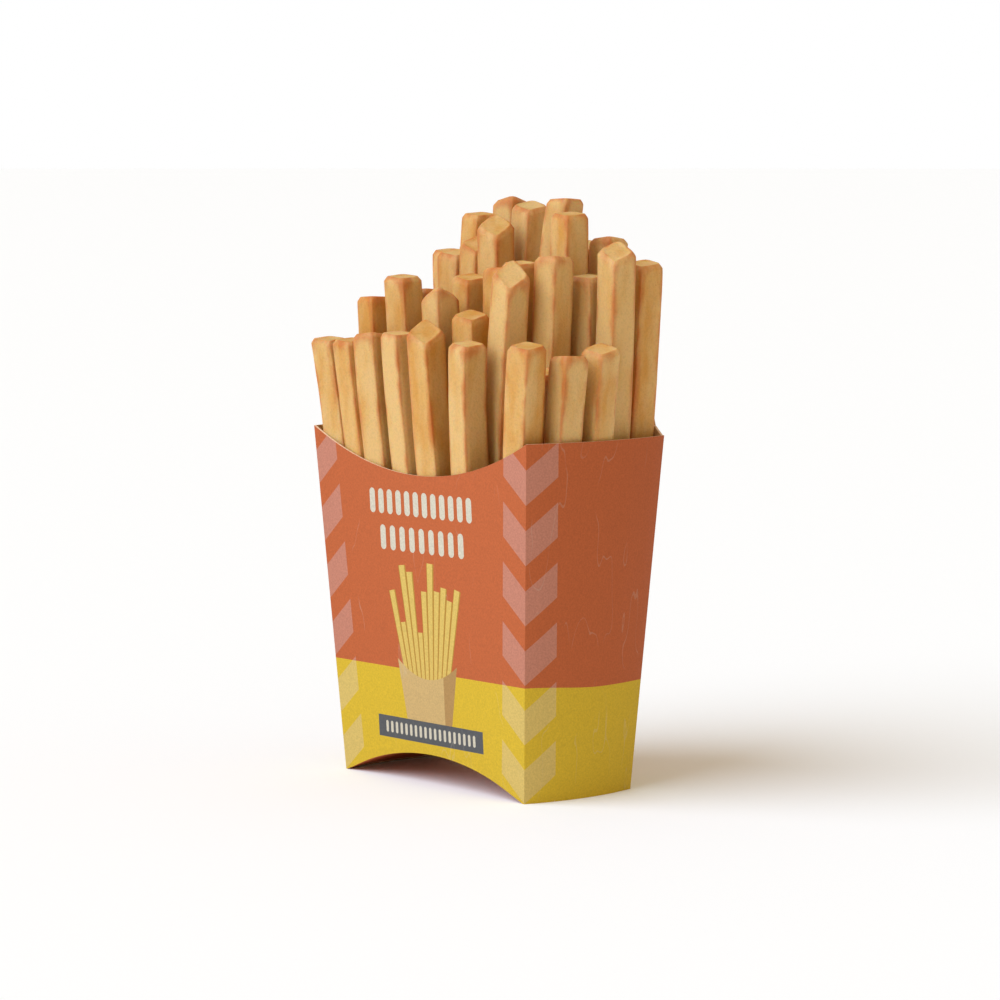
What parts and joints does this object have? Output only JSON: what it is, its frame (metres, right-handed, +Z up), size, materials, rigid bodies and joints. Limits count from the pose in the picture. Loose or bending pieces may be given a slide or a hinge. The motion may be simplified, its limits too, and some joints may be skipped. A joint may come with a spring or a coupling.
{
  "type": "french fry box",
  "caption": "Folded paperboard fry carton with a dipped front rim, raised back and arched bottom, filled with upright fries.",
  "frame": {"origin": "on the table under the middle of the filled box", "axes": "+Z up, front panel with the dipped rim towards -Y, +X to the right seen from the front"},
  "size_m": [0.1138, 0.0596, 0.1817],
  "materials": {
    "printed_board": "printed, matt",
    "fried_potato": "fried, slightly oily"
  },
  "bodies": {
    "root": {"carton": "printed_board", "fry_back_1": "fried_potato", "fry_back_2": "fried_potato", "fry_back_3": "fried_potato", "fry_back_4": "fried_potato", "fry_back_5": "fried_potato", "fry_back_6": "fried_potato", "fry_back_7": "fried_potato", "fry_back_8": "fried_potato", "fry_fourth_1": "fried_potato", "fry_fourth_2": "fried_potato", "fry_fourth_3": "fried_potato", "fry_fourth_4": "fried_potato", "fry_fourth_5": "fried_potato", "fry_fourth_6": "fried_potato", "fry_fourth_7": "fried_potato", "fry_fourth_8": "fried_potato", "fry_fourth_9": "fried_potato", "fry_front_1": "fried_potato", "fry_front_2": "fried_potato", "fry_front_3": "fried_potato", "fry_front_4": "fried_potato", "fry_front_5": "fried_potato", "fry_front_6": "fried_potato", "fry_front_7": "fried_potato", "fry_middle_1": "fried_potato", "fry_middle_2": "fried_potato", "fry_middle_3": "fried_potato", "fry_middle_4": "fried_potato", "fry_middle_5": "fried_potato", "fry_middle_6": "fried_potato", "fry_middle_7": "fried_potato", "fry_middle_8": "fried_potato", "fry_middle_9": "fried_potato", "fry_second_1": "fried_potato", "fry_second_2": "fried_potato", "fry_second_3": "fried_potato", "fry_second_4": "fried_potato", "fry_second_5": "fried_potato", "fry_second_6": "fried_potato", "fry_second_7": "fried_potato"}
  },
  "joints": []
}
